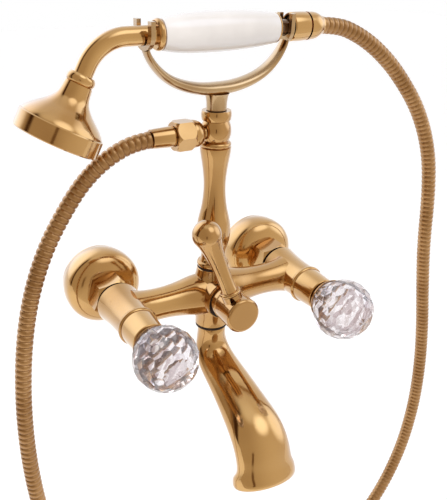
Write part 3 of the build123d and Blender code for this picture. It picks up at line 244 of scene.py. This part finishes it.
def ribbed_tube(name, line, rings, sides):
    """A closed tube with (distance, radius) rings, twist-free along a line."""
    placed = along(line, [distance for distance, _ in rings])
    sideways = Vector((0.0, 1.0, 0.0))
    points, faces = [], []
    for (centre, way), (_, radius) in zip(placed, rings):
        sideways = (sideways - sideways.dot(way) * way).normalized()
        other = way.cross(sideways)
        for side in range(sides):
            turn = 2 * math.pi * side / sides
            points.append(centre + radius * (math.cos(turn) * sideways + math.sin(turn) * other))
    for ring in range(len(rings) - 1):
        for side in range(sides):
            after = (side + 1) % sides
            low, high = ring * sides, (ring + 1) * sides
            faces.append((low + side, low + after, high + after, high + side))
    faces.append(tuple(reversed(range(sides))))
    faces.append(tuple((len(rings) - 1) * sides + side for side in range(sides)))
    return new_mesh(name, points, faces)


def hose_strip(name):
    """Plated strip, satin from handling, a little deeper in tone here and there."""
    finish, start = new_finish(name)
    place = metres(start)
    drift = mottle(place, size=0.03, seed=4.0)
    smear = mottle(place, size=0.008, seed=9.0, detail=3.0)
    surface(start, {
        "Base Color": drift.between(low=0.3, high=0.7).tint(HOSE_DEEP, HOSE_PALE),
        "Metallic": 1.0,
        "Roughness": smear.between(low=0.3, high=0.8) * 0.1 + 0.3,
        "Coat Weight": 0.3,
        "Coat Roughness": 0.1,
    })
    return finish


hose_reach = sum((b - a).length for a, b in zip(hose_line, hose_line[1:]))
rib_count = int((hose_reach - 2 * PLAIN_END) / RIB_PITCH)
rib_length = (hose_reach - 2 * PLAIN_END) / rib_count
hose_rings = [(0.0, PLAIN_END_RADIUS)]
for rib in range(rib_count):
    for share, swell in RIB_SHAPE:
        hose_rings.append((PLAIN_END + (rib + share) * rib_length, swell * HOSE_RADIUS))
hose_rings.append((hose_reach, PLAIN_END_RADIUS))
hose = ribbed_tube("hose_ribs", hose_line, hose_rings, HOSE_SIDES)
hose.data.materials.append(hose_strip("gold hose strip"))
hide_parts("shower_hose")
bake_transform(hose)


# The wall unions: brass legs screwed into the wall fittings, each with a deep cup that
# slides over the leg to hide the hole, and a big union nut that draws the body tight.
GOLD_DEEP = (0.46, 0.245, 0.072)
GOLD_PALE = (0.595, 0.352, 0.122)
RUBBER_DARK = (0.020, 0.009, 0.007)
RUBBER_BLOOM = (0.045, 0.024, 0.018)
BAND_HEIGHT = 0.2
RUBBER_GRAIN = 0.0006
RUBBER_GRAIN_DEPTH = 0.00002
CUP_BANDS = (1.0, 40.0, 1.0)


def bumped(height, depth):
    """The normal of a height pattern `depth` metres high."""
    return height.node("ShaderNodeBump", {}, {"Height": height, "Distance": depth, "Strength": 1.0})


def gold_tone(place, seed, tones=(GOLD_DEEP, GOLD_PALE)):
    """A gold that drifts between two tones."""
    return mottle(place, size=0.045, seed=seed).between(low=0.3, high=0.7).tint(*tones)


def gold_plate(name, seed, polish=0.12, peel=0.00002, turned=None, tones=(GOLD_DEEP, GOLD_PALE)):
    """Gold plate under clear lacquer: a tone that drifts, faint smears, soft waves, lathe bands."""
    finish, start = new_finish(name)
    place = metres(start)
    smear = mottle(place, size=0.012, seed=seed + 3, detail=4.0)
    height = mottle(place, size=0.006, seed=seed + 7)
    if turned:
        bands = place.stretched(turned)
        height = height + mottle(bands, size=0.02, seed=seed + 9, detail=1.0) * BAND_HEIGHT
    surface(start, {
        "Base Color": gold_tone(place, seed, tones),
        "Metallic": 1.0,
        "Roughness": smear.between(low=0.35, high=0.8) * 0.08 + polish,
        "Coat Weight": 1.0,
        "Coat IOR": 1.45,
        "Coat Roughness": 0.06,
        "Normal": bumped(height, peel),
    })
    return finish


def rubber_tone(place, seed):
    """How dusty the rubber is, and its brown-black colour there."""
    bloom = mottle(place, size=0.003, seed=seed, detail=3.0)
    return bloom, bloom.between(low=0.35, high=0.75).tint(RUBBER_DARK, RUBBER_BLOOM)


def seal_rubber(name, seed):
    """Moulded brown-black rubber with a dusty bloom."""
    finish, start = new_finish(name)
    place = metres(start)
    bloom, colour = rubber_tone(place, seed)
    surface(start, {
        "Base Color": colour,
        "Roughness": bloom * 0.3 + 0.5,
        "Specular IOR Level": 0.2,
        "Normal": bumped(mottle(place, RUBBER_GRAIN, seed, detail=1.0), RUBBER_GRAIN_DEPTH),
    })
    return finish


def dress(finish, *names):
    """Gives CAD nodes their finish."""
    for name in names:
        for slot in nodes[name].material_slots:
            slot.material = finish


rubber = seal_rubber("black seal rubber", seed=5.0)
dress(gold_plate("gold on the union legs", seed=2.0), "eccentric_union_left", "eccentric_union_right")
cup_finish = gold_plate("gold on the wall cups", seed=3.0, turned=CUP_BANDS)
dress(cup_finish, "wall_flange_left", "wall_flange_right")
dress(gold_plate("gold on the union nuts", seed=4.0, polish=0.10), "union_nut_left", "union_nut_right")
dress(rubber, "inlet_washers")


# The body: one hollow brass casting with two arms, the valve barrels, the bosses for the
# column, spout and diverter; polished by hand, so its surface is the waviest of all.
dress(gold_plate("gold on the body", seed=6.0, polish=0.11, peel=0.00004), "body_casting")


# The valves: brass headworks with lapped ceramic discs that turn a quarter turn, on
# rubber seals, each under a thin spun cover.
BRASS_TARNISHED = (0.45, 0.32, 0.12)
BRASS_BRIGHT = (0.66, 0.50, 0.22)
CERAMIC_GREY = (0.78, 0.77, 0.73)
CERAMIC_WHITE = (0.88, 0.87, 0.84)
TOOL_BANDS = (1.0, 25.0, 1.0)
TOOL_DEPTH = 0.00002
COVER_BANDS = (1.0, 60.0, 1.0)


def machined_brass(name, seed):
    """Bare brass straight from the lathe: fine rings and a little tarnish."""
    finish, start = new_finish(name)
    place = metres(start)
    rings = mottle(place.stretched(TOOL_BANDS), size=0.004, seed=seed)
    tarnish = mottle(place, size=0.006, seed=seed + 1, detail=3.0)
    surface(start, {
        "Base Color": tarnish.between(low=0.3, high=0.75).tint(BRASS_TARNISHED, BRASS_BRIGHT),
        "Metallic": 1.0,
        "Roughness": rings * 0.2 + 0.2,
        "Normal": bumped(rings, TOOL_DEPTH),
    })
    return finish


def lapped_ceramic(name, seed):
    """Alumina, lapped flat: off-white with the faintest grey clouds."""
    finish, start = new_finish(name)
    cloud = mottle(metres(start), size=0.003, seed=seed, detail=3.0)
    surface(start, {
        "Base Color": cloud.between(low=0.3, high=0.7).tint(CERAMIC_GREY, CERAMIC_WHITE),
        "Roughness": cloud * 0.15 + 0.18,
    })
    return finish


machined = machined_brass("machined brass", seed=7.0)
lapped = lapped_ceramic("lapped disc ceramic", seed=8.0)
cover_finish = gold_plate("gold on the valve covers", seed=9.0, turned=COVER_BANDS)
dress(machined, "valve_headwork_left", "valve_headwork_right", "valve_spindle_left", "valve_spindle_right")
dress(lapped, "fixed_discs", "shutter_disc_left", "shutter_disc_right")
dress(rubber, "headwork_seals")
dress(cover_finish, "bonnet_cover_left", "bonnet_cover_right")


# The knob mounts: a gold cup with a rolled lip under each crystal, held to the spindle,
# and the threaded stud that reaches into the glass.
dress(gold_plate("gold on the knob cups", seed=10.0, polish=0.08), "knob_cup_left", "knob_cup_right")
dress(machined, "knob_stud_left", "knob_stud_right")


# The crystal knobs: balls of clear lead glass, ground with flat facets in rings that
# meet in a star at the front, bored from the flat back for the stud that holds them.
KNOB_PLACES = {"left": -0.075, "right": 0.075}
KNOB_CENTRE_DEPTH = 0.1341
KNOB_RADIUS = 0.0239
KNOB_BACK = 0.0205
KNOB_BORE = 0.0031
KNOB_BORE_REACH = 0.0098
BACK_RIM = 0.001
FACETS_AROUND = 14
FACET_RINGS = [19, 40, 61, 82, 103, 124]
ONE_FACET = math.radians(0.5)
STAR_TO_ROOM = Matrix(((1, 0, 0), (0, 0, -1), (0, 1, 0))).to_4x4()
# Painted light: lit and shaded glass tones, laid out in slanted cells, stand for the facets' glints and
# dark reflections.
GLASS_SHADED = (0.47, 0.38, 0.39)
GLASS_LIT = (0.94, 0.91, 0.94)
GLINT_SLANT = (0.0, -0.95, 0.0)
GLINT_SHAPE = (3.0, 1.0, 1.0)
GLINTS_PER_METRE = 330.0


def hull_of(points):
    """A mesh of the convex hull of those points."""
    form = bmesh.new()
    for point in points:
        form.verts.new(point)
    bmesh.ops.convex_hull(form, input=form.verts)
    bmesh.ops.delete(form, geom=[corner for corner in form.verts if not corner.link_faces], context="VERTS")
    form.normal_update()
    return form


def cut_ball():
    """A ball as large as its round blank, ground flat once for each facet; +Z is the star."""
    cuts = [Vector((0.0, 0.0, -KNOB_RADIUS / KNOB_BACK))]
    for ring, angle in enumerate(FACET_RINGS):
        tilt = math.radians(angle)
        for facet in range(FACETS_AROUND):
            turn = 2 * math.pi * (facet + 0.5 * (ring % 2)) / FACETS_AROUND
            level = Vector((math.cos(turn), math.sin(turn), 0.0))
            cuts.append(math.sin(tilt) * level + Vector((0.0, 0.0, math.cos(tilt))))
    dual = hull_of(cuts)
    corners = [face.normal / face.normal.dot(face.verts[0].co) for face in dual.faces]
    dual.free()
    reach = max(corner.length for corner in corners)
    ball = hull_of([corner * (KNOB_RADIUS / reach) for corner in corners])
    bmesh.ops.dissolve_limit(ball, angle_limit=ONE_FACET, verts=ball.verts, edges=ball.edges)
    return ball


def bore_ball(ball):
    """Sinks the stud's blind hole into the flat back."""
    back = min(ball.faces, key=lambda face: face.calc_center_median().z)
    bmesh.ops.inset_individual(ball, faces=[back], thickness=BACK_RIM)
    for corner in back.verts:
        turn = math.atan2(corner.co.y, corner.co.x)
        corner.co = Vector((KNOB_BORE * math.cos(turn), KNOB_BORE * math.sin(turn), corner.co.z))
    sunk = bmesh.ops.extrude_face_region(ball, geom=[back])
    moved = [part for part in sunk["geom"] if isinstance(part, bmesh.types.BMVert)]
    bmesh.ops.translate(ball, vec=(0.0, 0.0, KNOB_BORE_REACH), verts=moved)
    bmesh.ops.delete(ball, geom=[back], context="FACES")
    bmesh.ops.recalc_face_normals(ball, faces=ball.faces)


def cut_glass(name):
    """Crystal with a lilac-grey cast, slanting glints and streaks of shade painted into its base colour,
    and the haze that grinding leaves.
    """
    finish, start = new_finish(name)
    place = metres(start)
    haze = mottle(place, size=0.009, seed=2.0, detail=3.0)
    slant = {"Vector": place, "Rotation": GLINT_SLANT, "Scale": GLINT_SHAPE}
    slanted = start.node("ShaderNodeMapping", {"vector_type": "TEXTURE"}, slant)
    cells = {"Vector": slanted, "Scale": GLINTS_PER_METRE}
    # Painted glints and painted shade: slanted cells that pick the lit or the shaded tone.
    glint = start.node("ShaderNodeTexVoronoi", {}, cells, output="Color")
    surface(start, {
        "Base Color": glint.between(low=0.38, high=0.62).tint(GLASS_SHADED, GLASS_LIT),
        "Roughness": haze.between(low=0.45, high=0.8) * 0.04 + 0.03,
        "IOR": 1.54,
        "Transmission Weight": 0.85,
    })
    return finish


crystal = cut_glass("cut crystal")
for side, across_x in KNOB_PLACES.items():
    ball = cut_ball()
    bore_ball(ball)
    ball.transform(Matrix.Translation((across_x, -KNOB_CENTRE_DEPTH, 0.0)) @ STAR_TO_ROOM)
    mesh = bpy.data.meshes.new("crystal_ball_" + side)
    ball.to_mesh(mesh)
    ball.free()
    knob = bpy.data.objects.new("crystal_ball_" + side, mesh)
    scene.collection.objects.link(knob)
    knob.data.materials.append(crystal)
    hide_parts("crystal_knob_" + side)
    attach(knob, "knob_" + side)


# The diverter: its cartridge and ceramic discs inside the middle boss, a gold washer whose middle is
# painted dark as the shadow of the gap round the hub, and the drum-shaped hub that its grub screw locks to
# the spindle.
# Inside this radius the washer is painted brown-black: a painted shadow of the gap between the hub and the
# body.
PAINTED_SHADOW_EDGE = (0.0140, 0.0143)
FLAT = (1.0, 0.0, 1.0)
WASHER_GRAIN_DEPTH = 0.00001
STEEL_BROWNED = (0.09, 0.048, 0.026)
STEEL_RUBBED = (0.28, 0.17, 0.10)
HUB_BANDS = (1.0, 50.0, 1.0)


def screw_steel(name, seed):
    """Steel browned by heat and oil, rubbed brighter in patches."""
    finish, start = new_finish(name)
    rubbed = mottle(metres(start), size=0.0012, seed=seed, detail=3.0)
    surface(start, {
        "Base Color": rubbed.between(low=0.4, high=0.8).tint(STEEL_BROWNED, STEEL_RUBBED),
        "Metallic": 1.0,
        "Roughness": rubbed * 0.2 + 0.3,
    })
    return finish


def washer_with_painted_shadow(name, seed):
    """A gold washer whose middle, just wider than the hub, is painted brown-black and dull as the shadow of
    the gap behind the hub.
    """
    finish, start = new_finish(name)
    place = metres(start)
    level = {0: place.stretched(FLAT)}
    reach = start.node("ShaderNodeVectorMath", {"operation": "LENGTH"}, level, output="Value")
    # Where plate is 0 the rubber's brown-black is used as painted shadow; there is no real rubber lip.
    plate = reach.between(*PAINTED_SHADOW_EDGE)
    _, dark = rubber_tone(place, seed)
    surface(start, {
        "Base Color": plate.tint(dark, gold_tone(place, seed)),
        "Metallic": plate,
        "Roughness": 0.55 - plate * 0.4,
        "Specular IOR Level": 0.2,
        "Normal": bumped(mottle(place, RUBBER_GRAIN, seed, detail=1.0), WASHER_GRAIN_DEPTH),
    })
    return finish


steel = screw_steel("browned screw steel", seed=12.0)
hub_finish = gold_plate("gold on the diverter hub", seed=11.0, polish=0.10, turned=HUB_BANDS)
dress(machined, "diverter_cartridge", "diverter_spindle")
dress(lapped, "diverter_fixed_disc", "diverter_turning_disc")
dress(washer_with_painted_shadow("diverter washer with painted gap shadow", seed=25.0), "diverter_trim_ring")
dress(hub_finish, "diverter_hub")
dress(steel, "hub_grub_screw")


# The diverter lever: a turned brass stalk that swells into a ball, screwed into the hub
# over a small beaded collar.
lever_finish = gold_plate("gold on the lever", seed=13.0, polish=0.10, peel=0.00003)
dress(lever_finish, "lever_collar", "diverter_lever")


# The riser: a turned baluster column on a rubber seal, with the hose outlet's ball near
# its top and a short straight collar over that.
COLUMN_BANDS = (1.0, 1.0, 45.0)
column_finish = gold_plate("gold on the column", seed=14.0, polish=0.10, turned=COLUMN_BANDS)
dress(column_finish, "riser_column")
dress(rubber, "riser_seal")


# The cradle: a forged U band on a short stem, with a fork at each end that carries the
# handset; it stands on a rubber washer, and a grub screw in the column holds it.
CRADLE_TONES = (0.41, 0.255, 0.115), (0.53, 0.355, 0.175)
cradle_finish = gold_plate("gold on the cradle", seed=15.0, polish=0.18, peel=0.00004, tones=CRADLE_TONES)
dress(cradle_finish, "cradle_yoke")
dress(rubber, "cradle_washer")
dress(steel, "cradle_grub_screw")


# The hose's outlet end: a domed nipple on the column, a washer, a hexagon nut and the
# ferrule crimped on the hose.
outlet_finish = gold_plate("gold on the outlet fittings", seed=16.0, polish=0.10)
dress(outlet_finish, "outlet_nipple", "outlet_hose_nut", "outlet_ferrule")
dress(rubber, "outlet_hose_washer")


# The handle: a brass tube through a slip-cast sleeve of white glazed ceramic, between a
# rolled bead on the left and a thin ring on the right.
# Near black-brown tones for the tube: painted shade, standing for the shadow in the gap between the sleeve
# and the fork.
PAINTED_SHADE_TUBE_TONES = (0.09, 0.042, 0.018), (0.17, 0.085, 0.035)
GLAZE_THICK = (0.82, 0.815, 0.85)
GLAZE_THIN = (0.89, 0.885, 0.92)
GLAZE_WAVE = 0.00003


def white_glaze(name, seed):
    """White glaze over stoneware: deep gloss, a soft unevenness, slow waves."""
    finish, start = new_finish(name)
    place = metres(start)
    cloud = mottle(place, size=0.02, seed=seed)
    flow = mottle(place, size=0.008, seed=seed + 2, detail=1.0)
    surface(start, {
        "Base Color": cloud.between(low=0.3, high=0.7).tint(GLAZE_THICK, GLAZE_THIN),
        "Roughness": flow * 0.08 + 0.12,
        "Coat Weight": 0.7,
        "Coat Roughness": 0.03,
        "Normal": bumped(flow, GLAZE_WAVE),
    })
    return finish


ring_finish = gold_plate("gold on the handle rings", seed=17.0, polish=0.09)
# The tube's gold is darkened as painted shade, not by real browning.
painted_shade_tube_finish = gold_plate("handle tube gold darkened as painted shade", seed=24.0, polish=0.24, tones=PAINTED_SHADE_TUBE_TONES)
dress(ring_finish, "handle_collar", "handle_end_cap")
dress(painted_shade_tube_finish, "handle_tube")
dress(white_glaze("white glaze", seed=18.0), "handle_sleeve")


# The handset's hose end: a round nut that screws onto the handle's tail over a washer,
# and the short domed ferrule crimped on the hose; both are turned brass.
END_BANDS = (40.0, 1.0, 1.0)
hose_end_finish = gold_plate("gold on the handset's hose end", seed=19.0, polish=0.09, turned=END_BANDS)
dress(hose_end_finish, "handset_hose_nut", "handset_ferrule")
dress(rubber, "handset_hose_washer")


# The spray head: a bent tube and its collar, a spun bell, a drum ring screwed round its
# rim, and the pierced plate and gasket that the ring holds.
head_finish = gold_plate("gold on the spray head", seed=20.0, polish=0.10, peel=0.00003)
dress(head_finish, "handset_elbow", "elbow_collar", "spray_bell", "rim_ring")
dress(gold_plate("gold on the spray plate", seed=21.0, polish=0.16), "spray_plate")
dress(rubber, "spray_gasket")


# The spout: a hollow casting that turns on its spigot between two rubber rings and ends
# in a wide flared lip, with a moulded flow straightener inside.
PLASTIC_SHADE = (0.50, 0.49, 0.46)
PLASTIC_LIGHT = (0.60, 0.59, 0.56)
PLASTIC_GRAIN_DEPTH = 0.00003


def moulded_plastic(name, seed):
    """Grey acetal with a spark-eroded grain."""
    finish, start = new_finish(name)
    place = metres(start)
    grain = mottle(place, size=0.0008, seed=seed, detail=3.0)
    cloud = mottle(place, size=0.01, seed=seed)
    surface(start, {
        "Base Color": cloud.between(low=0.3, high=0.7).tint(PLASTIC_SHADE, PLASTIC_LIGHT),
        "Roughness": grain * 0.2 + 0.4,
        "Normal": bumped(grain, PLASTIC_GRAIN_DEPTH),
    })
    return finish


dress(gold_plate("gold on the spout", seed=22.0, polish=0.10, peel=0.00005), "spout_body")
dress(rubber, "spout_rings")
dress(steel, "spout_retaining_screw")
dress(moulded_plastic("grey moulded plastic", seed=23.0), "flow_straightener")


# The studio: a pale table top, and a tent of white cloth round a warm-toned room, with a
# dark seam on the left, a narrow door in front, and lamps that shine through the cloth.
FLOOR_HEIGHT = -0.46
FLOOR_FRONT = -0.62
FLOOR_REACH = 6.0
FLOOR_WHITE = (0.93, 0.93, 0.93)
FLOOR_LIFT = (0.23, 0.25, 0.29)
BLACK = (0.0, 0.0, 0.0)
TENT_EDGE = (-0.32, -0.02)
TENT_TOP = (0.88, 1.0)
TENT_WHITE = (1.0, 1.0, 1.0)
ROOM_TURN = (-0.7, 0.6)
ROOM_LEFT = (0.60, 0.51, 0.40)
ROOM_RIGHT = (0.86, 0.79, 0.69)
ROOM_LOW = (0.92, 0.87, 0.80)
ROOM_LOW_EDGE = (-0.68, -0.05)
WALL_LEFT = (0.50, 0.40, 0.29)
WALL_EDGE = (-0.62, -0.10)
WALL_END = (-0.78, -0.50)
SEAM_PLACE = -0.2
SEAM_HALF = (0.04, 0.20)
SEAM_SIDE = (-0.5, 0.4)
SEAM_BROWN = (0.07, 0.03, 0.012)
DOOR_WAY = (-0.445, -0.895, 0.0)
DOOR_BESIDE = (-0.895, 0.445, 0.0)
DOOR_FACING = (0.0, 0.1)
DOOR_WIDE = (0.04, 0.09)
DOOR_TALL = (0.14, 0.22)
DOOR_BROWN = (0.20, 0.12, 0.07)
LAMPS = [
    ((-0.33, 0.84, 0.43), (0.76, 0.985), 1.75),
    ((0.93, -0.18, 0.32), (0.86, 0.98), 1.7),
    ((0.33, -0.48, 0.81), (0.90, 0.99), 1.9),
]
LAMP_TINT = (1.0, 1.08, 1.25)
KEY_PLACE = (-0.85, -0.55, 1.05)
KEY_TARGET = (0.0, -0.06, 0.05)
KEY_SIZE = 0.9
KEY_POWER = 9.0


def pale_card(name):
    """White card that shows white to the camera, in metal and in glass, without lighting them."""
    finish, start = new_finish(name)
    rays = start.node("ShaderNodeLightPath", output="Is Camera Ray")
    shown = rays + rays.again("Is Glossy Ray") + rays.again("Is Transmission Ray")
    surface(start, {
        "Base Color": (*FLOOR_WHITE, 1.0),
        "Roughness": 0.9,
        "Emission Color": shown.between(low=0.0, high=1.0).tint(BLACK, FLOOR_LIFT),
        "Emission Strength": 1.0,
    })
    return finish


floor_corners = [
    (-FLOOR_REACH, FLOOR_FRONT, FLOOR_HEIGHT), (FLOOR_REACH, FLOOR_FRONT, FLOOR_HEIGHT),
    (FLOOR_REACH, FLOOR_REACH, FLOOR_HEIGHT), (-FLOOR_REACH, FLOOR_REACH, FLOOR_HEIGHT),
]
floor = new_mesh("studio_floor", floor_corners, [(0, 1, 2, 3)])
floor.data.materials.append(pale_card("pale floor"))


def towards(way, aim):
    """How far the sky's directions run along another one, from -1 to 1."""
    return way.node("ShaderNodeVectorMath", {"operation": "DOT_PRODUCT"}, {0: way, 1: aim}, output="Value")


def outside(distance, edge):
    """1 up to the start of an edge, 0 past its end."""
    return 1.0 - distance.between(*edge)


def tent_light(start):
    """The light of the tent and its room, by the direction that it comes from."""
    way = start.node("ShaderNodeTexCoord", output="Generated")
    parts = start.node("ShaderNodeSeparateXYZ", {}, {"Vector": way}, output="X")
    right, front, up = parts, parts.again("Y") * -1.0, parts.again("Z")
    below_top = outside(up, TENT_TOP)
    room = right.between(*ROOM_TURN).tint(ROOM_LEFT, ROOM_RIGHT)
    room = up.between(*ROOM_LOW_EDGE).tint(ROOM_LOW, room)
    wall = (below_top * outside(right, WALL_EDGE) * front.between(*WALL_END)).tint(TENT_WHITE, WALL_LEFT)
    light = (front.between(*TENT_EDGE) * below_top).tint(wall, room)
    seam = outside((front - SEAM_PLACE).magnitude(), SEAM_HALF) * below_top * outside(right, SEAM_SIDE)
    light = seam.tint(light, SEAM_BROWN)
    beside = towards(way, DOOR_BESIDE).magnitude()
    facing = towards(way, DOOR_WAY).between(*DOOR_FACING)
    door = outside(beside, DOOR_WIDE) * outside(up.magnitude(), DOOR_TALL) * facing
    light = door.tint(light, DOOR_BROWN)
    rays = start.node("ShaderNodeLightPath", output="Is Camera Ray")
    mirrored = 1.0 - rays.again("Is Diffuse Ray")
    for aim, edge, strength in LAMPS:
        glow = towards(way, aim).between(*edge) * mirrored
        light = glow.tint(light, [strength * share for share in LAMP_TINT])
    return rays.tint(light, TENT_WHITE)


studio = bpy.data.worlds.new("studio")
scene.world = studio
studio.use_nodes = True
studio.node_tree.nodes.clear()
sky = Wire(studio.node_tree)
cloth = sky.node("ShaderNodeBackground", {}, {"Color": tent_light(sky), "Strength": 1.0})
sky.node("ShaderNodeOutputWorld", {}, {"Surface": cloth})

key = bpy.data.lights.new("key_softbox", "AREA")
key.shape = "RECTANGLE"
key.size, key.size_y = KEY_SIZE, KEY_SIZE
key.energy = KEY_POWER
softbox = bpy.data.objects.new("key_softbox", key)
scene.collection.objects.link(softbox)
softbox.location = KEY_PLACE
softbox.rotation_euler = (Vector(KEY_TARGET) - Vector(KEY_PLACE)).to_track_quat("-Z", "Y").to_euler()
softbox.visible_glossy = False
scene.view_settings.view_transform = "Standard"
